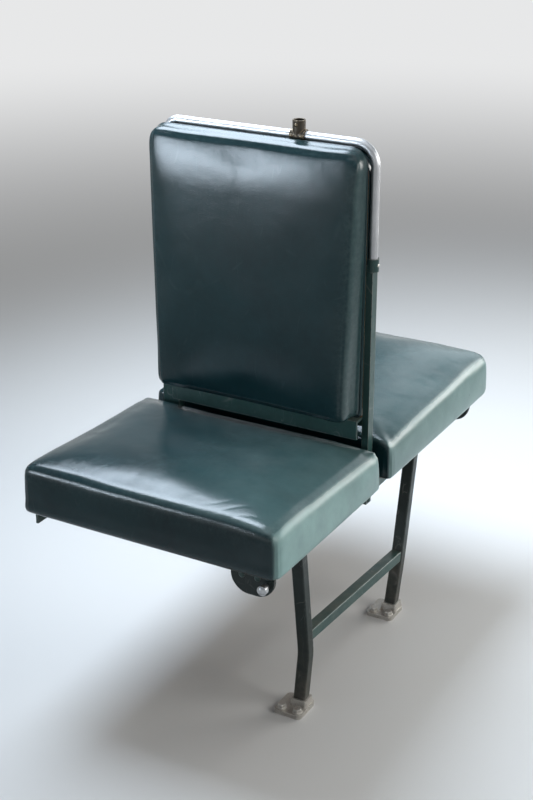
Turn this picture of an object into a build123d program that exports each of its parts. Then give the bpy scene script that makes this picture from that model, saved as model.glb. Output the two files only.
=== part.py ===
from build123d import *
import os

# A back-to-back passenger seat of an old tram. Two bowed legs stand on the floor at the aisle side,
# and the car's side wall carries the other side. Sizes are in millimetres.
# +X points to the aisle, +Y along the car and +Z up. The origin is the centre of the four floor
# bolts, on the floor.

# Feet
foot_width = 52.0
foot_length = 58.0
foot_thickness = 8.0
foot_corner = 8.0
foot_hole_radius = 4.5
foot_hole_spacing = 30.0
foot_hole_reach = 28.0       # from a leg's centre to its two bolts, along the car
foot_heel = 18.0             # from a leg's centre to the end of the foot that has no bolts
foot_boss_height = 12.0
foot_boss_wall = 5.0
foot_boss_corner = 4.0
foot_boss_draft = 8.0        # degrees

# Legs, forged from square bar: they bow to the aisle at the knee and spread above it
leg_spacing = 362.0
leg_offset = 8.0             # from the feet's centre line to the legs, towards the aisle
leg_width = 22.0
leg_depth = 20.0
leg_corner = 3.0
knee_height = 115.0
knee_bow = 9.0
knee_spread = 3.0
knee_radius = 200.0
top_spread_front = 20.0
top_spread_rear = 73.0

# Stretcher, a square bar between the legs that falls a little towards the rear one
stretcher_size = 20.0
stretcher_corner = 2.0
stretcher_height_front = 145.0
stretcher_height_rear = 122.0
stretcher_inset = 1.5        # of its centre behind the knees' bow

# Cushions and the boards under them
seat_height = 450.0          # a cushion's top front edge above the floor
cushion_width = 475.0
cushion_thickness = 92.0
cushion_rake = 14.0          # how much lower a cushion's back edge is
cushion_front_depth = 365.0
cushion_rear_depth = 455.0
cushion_slot = 30.0          # between the two cushions
cushion_overhang = 69.0      # from the feet's centre line to the cushions' aisle side
cushion_corner = 20.0
cushion_edge = 9.0
cushion_clearance = 0.3
board_thickness = 12.0
board_inset = 28.0
board_wall_inset = 8.0       # less at the wall side, where the wall rail carries the board
board_corner = 12.0

# Rails of the seat frame
rail_depth = 28.0
rail_metal = 4.0
aisle_rail_width = 45.0
aisle_rail_offset = 4.0      # from the feet's centre line to the rail's, towards the aisle
angle_width = 30.0
rail_inset = 40.0            # from a cushion's outer end to the long rails' ends
end_rail_inset = 75.0        # from a cushion's outer end to the cross rail under it
wall_gap = 8.0               # from the cushions to the car's wall
wall_hole_spacing = 400.0
wall_hole_radius = 5.5

# Catches under the cushions' outer edges
catch_width = 78.0
catch_offset = 7.0           # from the feet's centre line, towards the aisle
catch_drop = 42.0
catch_metal = 5.0
catch_corner = 32.0
knob_radius = 8.0
knob_collar_radius = 5.0
knob_length = 15.0
knob_flare = 2.0
knob_stem_radius = 4.0
knob_stem_length = 6.0
knob_offset = 32.0           # from the feet's centre line, towards the aisle
knob_drop = 20.0

# Back
core_thickness = 18.0        # board and uprights between the two pads
back_height = 457.0
pad_aisle_taper = 6.0        # how much further in the pads' aisle edge is at the bottom
pad_wall_taper = 20.0        # how much further in their wall edge is at the bottom
pad_wall_cover = 1.0         # how far their top reaches past the wall upright
pad_top_thickness = 37.0
pad_bottom_thickness = 59.0
pad_top_corner = 30.0
pad_bottom_corner = 12.0
pad_edge = 6.0
pad_clearance = 0.3
back_board_inset = 12.0
back_rail_width = 60.0
back_rail_depth = 34.0
back_rail_gap = 10.0         # above the cushions' back edges
wall_upright_width = 33.0
wall_upright_gap = 13.0      # from the wall rail
aisle_upright_thickness = 12.0
upright_clearance = 0.5

# Grab rail round the top of the back, and the socket on it for the car's pole
grab_radius = 7.5
grab_rise = 5.5              # from the back's top up to the rail's centre
grab_drop = 179.0            # from the back's top down to the rail's lower end
grab_aisle_bend = 34.0
grab_wall_bend = 24.0
grab_wall_drop = 34.0
boss_radius = 10.0
boss_height = 22.0
sleeve_radius = 10.5
sleeve_length = 26.0
socket_radius = 10.8
socket_bore_radius = 8.3
socket_depth = 14.0
socket_reach = 25.0          # from the grab rail's centre up to the socket's mouth
socket_offset = 103.0        # from the feet's centre line, towards the wall

# Places that follow from the sizes
middle = foot_hole_reach     # the plane between the two seats, along the car
foot_top = foot_thickness + foot_boss_height
leg_reach = leg_spacing / 2
knee_x = leg_offset + knee_bow
cushion_bottom = seat_height - cushion_thickness
cushion_back_height = seat_height - cushion_rake
rail_top = cushion_bottom - board_thickness
rail_web = rail_top - rail_metal
rail_bottom = rail_top - rail_depth
wall_side = cushion_overhang - cushion_width
wall_plane = wall_side - wall_gap
aisle_rail_low = aisle_rail_offset - aisle_rail_width / 2
aisle_rail_high = aisle_rail_offset + aisle_rail_width / 2
back_rail_bottom = cushion_back_height + back_rail_gap
back_bottom = back_rail_bottom + back_rail_depth
back_top = back_bottom + back_height
half_core = core_thickness / 2
half_slot = cushion_slot / 2
aisle_upright_face = aisle_rail_high
wall_upright_face = wall_plane + angle_width + wall_upright_gap
pad_aisle_edge = aisle_upright_face - upright_clearance
pad_wall_edge = wall_upright_face - pad_wall_cover
grab_bottom = back_top - grab_drop
grab_x = aisle_upright_face + grab_radius
grab_z = back_top + grab_rise
wall_end_x = wall_upright_face + wall_upright_width / 2
wall_end_z = grab_z - grab_wall_drop
front_end = cushion_front_depth + half_slot
rear_end = cushion_rear_depth + half_slot

# Name, side along the car, depth of the cushion, spread of the leg's top, height of the
# stretcher's end
seats = [
    ("front", -1, cushion_front_depth, top_spread_front, stretcher_height_front),
    ("rear", 1, cushion_rear_depth, top_spread_rear, stretcher_height_rear),
]


def block(x_range, y_range, z_range):
    """A box between two limits on each axis."""
    size = [high - low for low, high in (x_range, y_range, z_range)]
    place = [(high + low) / 2 for low, high in (x_range, y_range, z_range)]
    return Pos(*place) * Box(*size)


def span(side, near, far):
    """The limits along the car of something on one side of the middle plane."""
    return sorted((middle + side * near, middle + side * far))


def post(radius, height, place):
    """An upright round bar that stands on a place."""
    return Pos(*place) * Cylinder(radius, height, align=(Align.CENTER, Align.CENTER, Align.MIN))


def foot(side):
    """A cast foot: a plate with two bolts in front of the leg, and a drafted boss below the leg."""
    leg_y = middle + side * leg_reach
    centre_y = leg_y + foot_heel - foot_length / 2
    outline = Pos(0, centre_y) * RectangleRounded(foot_width, foot_length, foot_corner)
    plate = extrude(outline, foot_thickness)
    boss_width = leg_width + 2 * foot_boss_wall
    boss_length = leg_depth + 2 * foot_boss_wall
    place = Pos(leg_offset, leg_y, foot_thickness)
    outline = place * RectangleRounded(boss_width, boss_length, foot_boss_corner)
    boss = extrude(outline, foot_boss_height, taper=foot_boss_draft)
    casting = plate + boss
    for sign in (-1, 1):
        hole = (sign * foot_hole_spacing / 2, leg_y - foot_hole_reach, 0)
        casting -= post(foot_hole_radius, foot_thickness, hole)
    return casting


def leg_bar(side, spread, width):
    """Bar along two runs and the knee's arc, trimmed level at the foot and the rail."""
    foot_y = middle + side * leg_reach
    foot_point = Vector(leg_offset, foot_y, foot_top)
    knee_point = Vector(knee_x, foot_y + side * knee_spread, knee_height)
    top_point = Vector(leg_offset, foot_y + side * spread, rail_web)
    lower_run = (knee_point - foot_point).normalized()
    upper_run = (top_point - knee_point).normalized()
    start = foot_point - lower_run * leg_width
    end = top_point + upper_run * leg_width
    path = FilletPolyline(start, knee_point, end, radius=knee_radius)
    plane = Plane(start, x_dir=(1, 0, 0), z_dir=lower_run)
    bar = sweep(plane * RectangleRounded(width, leg_depth, leg_corner), path)
    reach = leg_spacing
    return bar & block((-reach, reach), (foot_y - reach, foot_y + reach), (foot_top, rail_web))


def stretcher():
    """Square bar from leg to leg, its ends cut to the faces that look at each other."""
    x = knee_x - stretcher_inset
    (front, front_height), (rear, rear_height) = [(middle + row[1] * leg_reach, row[4]) for row in seats]
    start = Vector(x, front, front_height)
    run = Vector(x, rear, rear_height) - start
    plane = Plane(start, x_dir=(1, 0, 0), z_dir=run.normalized())
    section = RectangleRounded(stretcher_size, stretcher_size, stretcher_corner)
    bar = extrude(plane * section, run.length)
    for name, side, depth, spread, height in seats:
        bar -= leg_bar(side, spread, 2 * leg_width)
    return bar


def aisle_rail():
    """Channel, open below, that takes the tops of the legs."""
    y_range = (middle - front_end + rail_inset, middle + rear_end - rail_inset)
    outer = block((aisle_rail_low, aisle_rail_high), y_range, (rail_bottom, rail_top))
    inner = (aisle_rail_low + rail_metal, aisle_rail_high - rail_metal)
    return outer - block(inner, y_range, (rail_bottom, rail_web))


def wall_rail():
    """Angle bolted to the car's wall, its flat flange under the boards."""
    y_range = (middle - front_end + rail_inset, middle + rear_end - rail_inset)
    flange = block((wall_plane, wall_plane + angle_width), y_range, (rail_web, rail_top))
    web = block((wall_plane, wall_plane + rail_metal), y_range, (rail_bottom, rail_top))
    angle = flange + web
    for sign in (-1, 1):
        hole_y = sum(y_range) / 2 + sign * wall_hole_spacing / 2
        drill = Pos(wall_plane, hole_y, (rail_bottom + rail_web) / 2) * Rot(0, 90, 0)
        angle -= drill * Cylinder(wall_hole_radius, 4 * rail_metal)
    return angle


def cross_rail(side, upright_face, flange_side):
    """Angle across the car between the two long rails, with its web on the given plane."""
    x_range = (wall_plane + rail_metal, aisle_rail_low)
    web_y = span(side, upright_face, upright_face + flange_side * rail_metal)
    flange_y = span(side, upright_face, upright_face + flange_side * angle_width)
    web = block(x_range, web_y, (rail_web - rail_depth, rail_web))
    return web + block(x_range, flange_y, (rail_web - rail_metal, rail_web))


def catch_plate(side, end):
    """Lug across the end of the frame, rounded below."""
    y_range = span(side, end - rail_inset, end - rail_inset + catch_metal)
    x_range = (catch_offset - catch_width / 2, catch_offset + catch_width / 2)
    plate = block(x_range, y_range, (rail_top - catch_drop, rail_top))
    low_corners = plate.edges().filter_by(Axis.Y).group_by(Axis.Z)[0]
    plate = fillet(low_corners, catch_corner)
    return plate - catch_hole(side, end)


def catch_axis(side, end):
    """The place of a catch's knob on the outer face of its lug, facing outwards."""
    outer_y = middle + side * (end - rail_inset + catch_metal)
    return Pos(knob_offset, outer_y, rail_top - knob_drop) * Rot(-90 * side, 0, 0)


def catch_hole(side, end):
    """The lug's hole for the knob's stem."""
    return catch_axis(side, end) * Cylinder(knob_stem_radius, 3 * catch_metal)


def catch_knob(side, end):
    """Turned knob on a stem through the lug."""
    profile = Polyline(
        (0, -catch_metal),
        (knob_stem_radius, -catch_metal),
        (knob_stem_radius, 0),
        (knob_collar_radius, 0),
        (knob_collar_radius, knob_stem_length),
        (knob_radius, knob_stem_length + knob_flare),
        (knob_radius, knob_length),
        (0, knob_length),
        close=True,
    )
    turned = revolve(Plane.XZ * make_face(profile), Axis.Z)
    return catch_axis(side, end) * turned


def cushion(side, depth):
    """Padded block with rounded corners, a raked top and a bevel along its top edges."""
    near = half_slot
    far = half_slot + depth
    low = cushion_bottom + cushion_clearance
    x_centre = cushion_overhang - cushion_width / 2
    y_centre = middle + side * (near + far) / 2
    outline = Pos(x_centre, y_centre, low) * RectangleRounded(cushion_width, depth, cushion_corner)
    profile = Polyline(
        (near, low),
        (far, low),
        (far, seat_height),
        (near, cushion_back_height),
        close=True,
    )
    section = Plane((wall_side, middle, 0), x_dir=(0, side, 0), z_dir=(side, 0, 0))
    wedge = extrude(section * make_face(profile), side * cushion_width)
    padding = extrude(outline, cushion_thickness) & wedge
    top = padding.faces().sort_by(Axis.Z)[-1]
    return chamfer(top.edges(), cushion_edge)


def cushion_board(side, depth):
    """Wooden base under a cushion, set in from its edges, on the two long rails."""
    x_size = cushion_width - board_inset - board_wall_inset
    y_size = depth - 2 * board_inset
    x_centre = cushion_overhang - board_inset - x_size / 2
    y_centre = middle + side * (half_slot + depth / 2)
    outline = Pos(x_centre, y_centre, rail_top) * RectangleRounded(x_size, y_size, board_corner)
    return extrude(outline, board_thickness)


def wall_upright():
    """Flat bar at the wall end of the back, held between the two middle cross rails."""
    x_range = (wall_upright_face, wall_upright_face + wall_upright_width)
    return block(x_range, span(1, -half_core, half_core), (rail_web - rail_depth, wall_end_z))


def aisle_upright():
    """Flat bar on the aisle rail's face, with a boss on top for the grab rail."""
    x_range = (aisle_upright_face, aisle_upright_face + aisle_upright_thickness)
    bar = block(x_range, span(1, -half_core, half_core), (rail_bottom, grab_bottom - boss_height / 2))
    boss = post(boss_radius, boss_height, (grab_x, middle, grab_bottom - boss_height))
    room = (aisle_upright_face, grab_x + 2 * boss_radius)
    return bar + (boss & block(room, span(1, -boss_radius, boss_radius), (rail_bottom, grab_bottom)))


def back_rail():
    """Channel, open below, that carries the back board and both pads between the uprights."""
    x_range = (wall_upright_face + wall_upright_width, aisle_upright_face)
    z_range = (back_rail_bottom, back_bottom)
    half = back_rail_width / 2
    outer = block(x_range, span(1, -half, half), z_range)
    inner = span(1, rail_metal - half, half - rail_metal)
    return outer - block(x_range, inner, (z_range[0], back_bottom - rail_metal))


def back_board():
    """Wooden panel between the uprights, the core of the back."""
    x_range = (wall_upright_face + wall_upright_width, aisle_upright_face)
    panel = block(x_range, span(1, -half_core, half_core), (back_bottom, back_top - back_board_inset))
    top_corners = panel.edges().filter_by(Axis.Y).group_by(Axis.Z)[-1]
    return fillet(top_corners.sort_by(Axis.X)[-1], pad_top_corner)


def back_pad(side):
    """Padded slab, thicker at the bottom, with rounded corners and a bevelled edge."""
    low = back_bottom + pad_clearance
    inner = half_core + pad_clearance
    outline = Polyline(
        (pad_wall_edge + pad_wall_taper, low),
        (pad_aisle_edge - pad_aisle_taper, low),
        (pad_aisle_edge, back_top),
        (pad_wall_edge, back_top),
        close=True,
    )
    face = make_face(outline)
    face = fillet(face.vertices().group_by(Axis.Y)[-1], pad_top_corner)
    face = fillet(face.vertices().group_by(Axis.Y)[0], pad_bottom_corner)
    plate = extrude(Plane.XZ.offset(-middle) * face, 2 * pad_bottom_thickness, both=True)
    profile = Polyline(
        (inner, low),
        (inner + pad_bottom_thickness, low),
        (inner + pad_top_thickness, back_top),
        (inner, back_top),
        close=True,
    )
    section = Plane((pad_wall_edge, middle, 0), x_dir=(0, side, 0), z_dir=(side, 0, 0))
    wedge = extrude(section * make_face(profile), side * (pad_aisle_edge - pad_wall_edge))
    pad = plate & wedge
    front = pad.faces().sort_by(Axis.Y)[-1 if side > 0 else 0]
    return chamfer(front.edges(), pad_edge)


def grab_rail():
    """Round rod up the aisle end, over the top and down to the wall upright."""
    path = FilletPolyline(
        (grab_x, middle, grab_bottom),
        (grab_x, middle, grab_z),
        (wall_end_x, middle, grab_z),
        (wall_end_x, middle, wall_end_z),
        radius=(grab_aisle_bend, grab_wall_bend),
    )
    plane = Plane((grab_x, middle, grab_bottom), z_dir=(0, 0, 1))
    return sweep(plane * Circle(grab_radius), path)


def pole_socket(rail):
    """Tee that is clamped round the grab rail and takes the foot of the car's pole."""
    place = Pos(-socket_offset, middle, grab_z)
    sleeve = place * Rot(0, 90, 0) * Cylinder(sleeve_radius, sleeve_length)
    cup = post(socket_radius, socket_reach, (-socket_offset, middle, grab_z))
    mouth_z = grab_z + socket_reach
    bore = post(socket_bore_radius, socket_depth, (-socket_offset, middle, mouth_z - socket_depth))
    return sleeve + cup - bore - rail


nodes = {}
for name, side, depth, spread, height in seats:
    end = half_slot + depth
    nodes["foot_" + name] = foot(side)
    nodes["leg_" + name] = leg_bar(side, spread, leg_width)
    nodes["cushion_" + name] = cushion(side, depth)
    nodes["cushion_board_" + name] = cushion_board(side, depth)
    nodes["end_rail_" + name] = cross_rail(side, end - end_rail_inset, -1)
    nodes["middle_rail_" + name] = cross_rail(side, half_core, 1)
    nodes["catch_plate_" + name] = catch_plate(side, end)
    nodes["catch_knob_" + name] = catch_knob(side, end)
    nodes["back_pad_" + name] = back_pad(side)
nodes["stretcher"] = stretcher()
nodes["aisle_rail"] = aisle_rail()
nodes["wall_rail"] = wall_rail()
nodes["wall_upright"] = wall_upright()
nodes["aisle_upright"] = aisle_upright()
nodes["back_rail"] = back_rail()
nodes["back_board"] = back_board()
nodes["grab_rail"] = grab_rail()
nodes["pole_socket"] = pole_socket(nodes["grab_rail"])

os.makedirs("parts", exist_ok=True)
for name, solid in nodes.items():
    export_step(solid, "parts/" + name + ".step")
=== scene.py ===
import math

import bmesh
import bpy
import numpy as np
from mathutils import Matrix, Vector


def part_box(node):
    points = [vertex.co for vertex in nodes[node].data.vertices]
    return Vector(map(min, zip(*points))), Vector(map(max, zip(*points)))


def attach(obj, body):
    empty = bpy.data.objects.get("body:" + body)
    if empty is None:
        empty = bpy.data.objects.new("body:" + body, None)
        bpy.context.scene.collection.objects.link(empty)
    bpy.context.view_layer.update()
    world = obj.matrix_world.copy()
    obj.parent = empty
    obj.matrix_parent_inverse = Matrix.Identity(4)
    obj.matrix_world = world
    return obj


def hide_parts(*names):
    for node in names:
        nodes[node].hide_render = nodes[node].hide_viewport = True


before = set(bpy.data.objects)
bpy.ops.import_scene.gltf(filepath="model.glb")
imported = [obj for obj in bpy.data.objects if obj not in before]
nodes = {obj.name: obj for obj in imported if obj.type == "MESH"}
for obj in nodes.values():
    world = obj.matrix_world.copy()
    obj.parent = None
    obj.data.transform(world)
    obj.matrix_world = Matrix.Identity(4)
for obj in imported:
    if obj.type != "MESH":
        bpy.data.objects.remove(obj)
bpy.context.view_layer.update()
scene = bpy.context.scene
scene.view_settings.view_transform = "Standard"

# Camera

cameraView = {
    "place": (1.017, -2.064, 1.5),
    "target": (-0.178, 0.055, 0.455),
    "lens": 67.5,
    "sensorWidth": 36.0,
    "clip": (0.05, 60.0),
}


# Puts a camera or lamp in its place and turns it to its target
def aimAt(thing, place, target):
    thing.location = place
    aim = Vector(target) - Vector(place)
    thing.rotation_euler = aim.to_track_quat("-Z", "Y").to_euler()
    scene.collection.objects.link(thing)


def makeCamera():
    data = bpy.data.cameras.new("camera")
    data.lens = cameraView["lens"]
    data.sensor_width = cameraView["sensorWidth"]
    data.clip_start, data.clip_end = cameraView["clip"]
    camera = bpy.data.objects.new("camera", data)
    aimAt(camera, cameraView["place"], cameraView["target"])
    scene.camera = camera


makeCamera()
print("camera set")

# Node helpers


# One node: settings are its own values, feeds are plain values or sockets for its inputs
def put(tree, kind, feeds=None, **settings):
    node = tree.nodes.new("ShaderNode" + kind)
    for key, value in settings.items():
        setattr(node, key, value)
    for key, value in (feeds or {}).items():
        if isinstance(value, bpy.types.NodeSocket):
            tree.links.new(value, node.inputs[key])
        else:
            node.inputs[key].default_value = value
    return node


def maths(tree, operation, first, second=0.0, clamp=False):
    node = put(tree, "Math", {0: first, 1: second}, operation=operation, use_clamp=clamp)
    return node.outputs[0]


def blendValue(tree, factor, low, high):
    node = put(tree, "Mix", {0: factor, 2: low, 3: high}, data_type="FLOAT")
    return node.outputs[0]


def blendColour(tree, factor, first, second):
    first = (*first, 1.0) if isinstance(first, tuple) else first
    second = (*second, 1.0) if isinstance(second, tuple) else second
    node = put(tree, "Mix", {0: factor, 6: first, 7: second}, data_type="RGBA")
    return node.outputs[2]


def remap(tree, value, low, high, outLow=0.0, outHigh=1.0, smooth=False):
    how = "SMOOTHSTEP" if smooth else "LINEAR"
    feeds = {"Value": value, "From Min": low, "From Max": high, "To Min": outLow, "To Max": outHigh}
    return put(tree, "MapRange", feeds, interpolation_type=how).outputs[0]


def noise(tree, vector, scale, detail=3.0, roughness=0.5, distortion=0.0):
    feeds = {"Vector": vector, "Scale": scale, "Detail": detail}
    feeds.update({"Roughness": roughness, "Distortion": distortion})
    return put(tree, "TexNoise", feeds).outputs["Fac"]


def stretched(tree, vector, scale):
    return put(tree, "Mapping", {"Vector": vector, "Scale": scale}).outputs[0]


def newGroup(name, inputs, outputs):
    group = bpy.data.node_groups.new(name, "ShaderNodeTree")
    for label, kind, value in inputs:
        socket = group.interface.new_socket(label, in_out="INPUT", socket_type="NodeSocket" + kind)
        socket.default_value = value
    for label, kind in outputs:
        group.interface.new_socket(label, in_out="OUTPUT", socket_type="NodeSocket" + kind)
    return group, group.nodes.new("NodeGroupInput").outputs, group.nodes.new("NodeGroupOutput").inputs


def useGroup(tree, group, **values):
    return put(tree, "Group", values, node_tree=group).outputs


# Worn edges: how far a rounded normal turns from the flat one, times the noise above a level. The
# level falls as the amount grows
def makeEdgeWear():
    inputs = [("Radius", "Float", 0.0025), ("Amount", "Float", 0.5), ("Scale", "Float", 90.0)]
    group, given, out = newGroup("edgeWear", inputs, [("Mask", "Float")])
    fullTurn, levelTop, levelScale, hardness = 0.86, 1.02, 0.62, 9.0
    place = put(group, "TexCoord").outputs["Object"]
    rounded = put(group, "Bevel", {"Radius": given["Radius"]}, samples=4).outputs[0]
    flat = put(group, "NewGeometry").outputs["Normal"]
    facing = put(group, "VectorMath", {0: rounded, 1: flat}, operation="DOT_PRODUCT").outputs["Value"]
    turn = remap(group, facing, 1.0, fullTurn)
    spots = noise(group, place, given["Scale"], 5.0, 0.65)
    level = maths(group, "SUBTRACT", levelTop, given["Amount"])
    spots = maths(group, "SUBTRACT", spots, maths(group, "MULTIPLY", level, levelScale))
    both = maths(group, "MULTIPLY", turn, maths(group, "MULTIPLY", spots, hardness, True), True)
    group.links.new(both, out["Mask"])
    return group


# Broad and fine colour variation, from 0 to 1
def makeMottle():
    inputs = [("Scale", "Float", 6.0), ("Fine", "Float", 0.35)]
    group, given, out = newGroup("mottle", inputs, [("Factor", "Float")])
    place = put(group, "TexCoord").outputs["Object"]
    broad = noise(group, place, given["Scale"], 3.0, 0.55, 0.4)
    finer = 14.0
    fine = noise(group, place, maths(group, "MULTIPLY", given["Scale"], finer), 4.0, 0.6)
    both = blendValue(group, given["Fine"], broad, fine)
    group.links.new(remap(group, both, 0.3, 0.7), out["Factor"])
    return group


# Dust in clouds: some on faces that look up, and some on all faces, which thickens to the floor
def makeDust():
    inputs = [("Amount", "Float", 0.4), ("Floor", "Float", 0.0)]
    group, given, out = newGroup("dust", inputs, [("Mask", "Float")])
    place = put(group, "TexCoord").outputs["Object"]
    normal = put(group, "NewGeometry").outputs["Normal"]
    up = remap(group, put(group, "SeparateXYZ", {0: normal}).outputs["Z"], 0.35, 1.0)
    cloud = remap(group, noise(group, place, 22.0, 6.0, 0.65), 0.38, 0.72)
    lying = maths(group, "MULTIPLY", maths(group, "MULTIPLY", up, cloud), given["Amount"])
    height = put(group, "SeparateXYZ", {0: place}).outputs["Z"]
    highestDirt = 0.16
    low = remap(group, height, highestDirt, 0.0)
    low = maths(group, "MULTIPLY", maths(group, "MULTIPLY", low, cloud), given["Floor"])
    group.links.new(maths(group, "ADD", lying, low, True), out["Mask"])
    return group


# Thin stray scratches: where a stretched noise passes its middle value
def makeScratches():
    inputs = [("Scale", "Float", 60.0), ("Width", "Float", 0.012), ("Amount", "Float", 0.6)]
    group, given, out = newGroup("scratches", inputs, [("Mask", "Float")])
    place = put(group, "TexCoord").outputs["Object"]
    total = None
    alongX, alongY = (0.2, 1.0, 0.14), (1.0, 0.16, 0.22)
    for stretch in (alongY, alongX):
        lines = noise(group, stretched(group, place, stretch), given["Scale"], 1.5, 0.4, 0.3)
        away = maths(group, "ABSOLUTE", maths(group, "SUBTRACT", lines, 0.5))
        line = maths(group, "SUBTRACT", 1.0, maths(group, "DIVIDE", away, given["Width"]), True)
        total = line if total is None else maths(group, "MAXIMUM", total, line)
    gate = remap(group, noise(group, place, 30.0, 2.0), 0.48, 0.62)
    both = maths(group, "MULTIPLY", maths(group, "MULTIPLY", total, gate), given["Amount"], True)
    group.links.new(both, out["Mask"])
    return group


edgeWear = makeEdgeWear()
mottle = makeMottle()
dust = makeDust()
scratches = makeScratches()


def firstNode(tree, kind):
    return next(n for n in tree.nodes if n.type == kind)


def newMaterial(name):
    material = bpy.data.materials.new(name)
    material.use_nodes = True
    return material, material.node_tree, firstNode(material.node_tree, "BSDF_PRINCIPLED")


def feed(tree, shader, **sockets):
    names = {"colour": "Base Color", "roughness": "Roughness", "metallic": "Metallic"}
    for key, value in sockets.items():
        tree.links.new(value, shader.inputs[names[key]])


# Bumps stacked on each other: (height, strength, distance in metres)
def bumps(tree, shader, layers):
    normal = None
    for height, strength, distance in layers:
        feeds = {"Height": height, "Strength": strength, "Distance": distance}
        if normal is not None:
            feeds["Normal"] = normal
        normal = put(tree, "Bump", feeds).outputs[0]
    tree.links.new(normal, shader.inputs["Normal"])


# Roughness in patches: noise of this scale moves it from the lower value to the higher one
def patchyGloss(tree, place, scale, roughness):
    patches = remap(tree, noise(tree, place, scale, 4.0, 0.6), 0.35, 0.65)
    return blendValue(tree, patches, *roughness)


# Leathercloth: a coated cloth with a pressed grain, soft folds, creases, rubbed edges, and aisle faces
# lightened by painted light along with scuffing

clothFinish = {
    "deep": (0.0035, 0.017, 0.021),
    "light": (0.008, 0.033, 0.038),
    "rubbed": (0.11, 0.17, 0.165),
    "scuffedAndPaintedLight": (0.24, 0.385, 0.372),   # the aisle faces: partly scuffing where legs and bags brush past, partly painted light from the aisle side
    "grime": (0.16, 0.155, 0.14),
    "rubbing": 0.55,                   # how far a rubbed place takes its colour
    "creasing": 0.2,                   # the same for a crease
    "scuffAndPaintedLightCloud": (0.7, 1.0),
    "grainScale": 620.0,
    "grain": (0.5, 0.00020),           # strength and depth
    "folds": (0.20, 0.004),
    "creases": (-0.25, 0.0004),
    "roughness": (0.13, 0.21),
    "wornRoughness": 0.28,             # what wear adds to it
    "shine": 0.42,
}


# Wear and scuff come from the piece's own fields of those names, broken up by noise. The scuff field also
# carries painted light, which lightens the faces that look to the aisle
def makeLeathercloth():
    finish = clothFinish
    material, tree, shader = newMaterial("leathercloth")
    place = put(tree, "TexCoord").outputs["Object"]
    wear = put(tree, "Attribute", attribute_name="wear").outputs["Fac"]
    patches = useGroup(tree, mottle, Scale=5.0, Fine=0.25)["Factor"]
    colour = blendColour(tree, patches, finish["deep"], finish["light"])
    cells = put(tree, "TexVoronoi", {"Vector": place, "Scale": finish["grainScale"]}).outputs["Distance"]
    rubbing = remap(tree, noise(tree, place, 130.0, 6.0, 0.7), 0.42, 0.66)
    rubbed = maths(tree, "MULTIPLY", wear, rubbing, True)
    taken = maths(tree, "MULTIPLY", rubbed, finish["rubbing"])
    colour = blendColour(tree, taken, colour, finish["rubbed"])
    creases = useGroup(tree, scratches, Scale=16.0, Width=0.006, Amount=0.3)["Mask"]
    taken = maths(tree, "MULTIPLY", creases, finish["creasing"])
    colour = blendColour(tree, taken, colour, finish["rubbed"])
    grime = useGroup(tree, dust, Amount=0.10, Floor=0.0)["Mask"]
    colour = blendColour(tree, grime, colour, finish["grime"])
    # painted light with scuffing: the scuff field takes the faces that look to the aisle towards a light
    # colour, standing in for the aisle side's light as well as for scuffing
    scuffAndPaintedLight = put(tree, "Attribute", attribute_name="scuffAndPaintedLight").outputs["Fac"]
    cloud = remap(tree, noise(tree, place, 24.0, 5.0, 0.6), 0.25, 0.75, *finish["scuffAndPaintedLightCloud"])
    scuffAndPaintedLight = maths(tree, "MULTIPLY", scuffAndPaintedLight, cloud, True)
    colour = blendColour(tree, scuffAndPaintedLight, colour, finish["scuffedAndPaintedLight"])
    worn = maths(tree, "MULTIPLY", maths(tree, "MAXIMUM", rubbed, scuffAndPaintedLight), finish["wornRoughness"])
    gloss = maths(tree, "ADD", patchyGloss(tree, place, 9.0, finish["roughness"]), worn)
    feed(tree, shader, colour=colour, roughness=gloss)
    shader.inputs["Specular IOR Level"].default_value = finish["shine"]
    folds = noise(tree, place, 14.0, 3.0, 0.5, 0.6)
    layers = [(folds, *finish["folds"]), (cells, *finish["grain"]), (creases, *finish["creases"])]
    bumps(tree, shader, layers)
    return material


leathercloth = makeLeathercloth()

floorDirt = (0.23, 0.20, 0.165)   # the colour of dust and dirt on paint and metal


# Paint on metal: its colour, brush waves, chipped edges down to dull metal, dust and scratches
def makePaint(name, finish):
    material, tree, shader = newMaterial(name)
    place = put(tree, "TexCoord").outputs["Object"]
    patches = useGroup(tree, mottle, Scale=finish["patchScale"], Fine=0.4)["Factor"]
    colour = blendColour(tree, patches, finish["deep"], finish["light"])
    chips = useGroup(tree, edgeWear, Radius=0.0022, Amount=finish["chips"], Scale=110.0)["Mask"]
    lines = useGroup(tree, scratches, Scale=70.0, Width=0.008, Amount=0.7)["Mask"]
    bare = maths(tree, "MAXIMUM", chips, maths(tree, "MULTIPLY", lines, 0.5))
    colour = blendColour(tree, bare, colour, finish["bare"])
    dirt = useGroup(tree, dust, Amount=finish["dust"], Floor=finish["floorDust"])["Mask"]
    colour = blendColour(tree, dirt, colour, floorDirt)
    gloss = patchyGloss(tree, place, 35.0, finish["roughness"])
    gloss = maths(tree, "ADD", gloss, maths(tree, "MULTIPLY", dirt, 0.4), True)
    metal = maths(tree, "MULTIPLY", chips, 0.7)
    feed(tree, shader, colour=colour, roughness=gloss, metallic=metal)
    shader.inputs["Specular IOR Level"].default_value = finish["shine"]
    brushed = noise(tree, stretched(tree, place, (1.0, 0.25, 0.25)), 120.0, 3.0, 0.55)
    layers = [(noise(tree, place, 40.0, 3.0), 0.25, 0.0012), (brushed, 0.3, 0.0003), (chips, -0.4, 0.0004)]
    bumps(tree, shader, layers)
    return material


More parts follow.
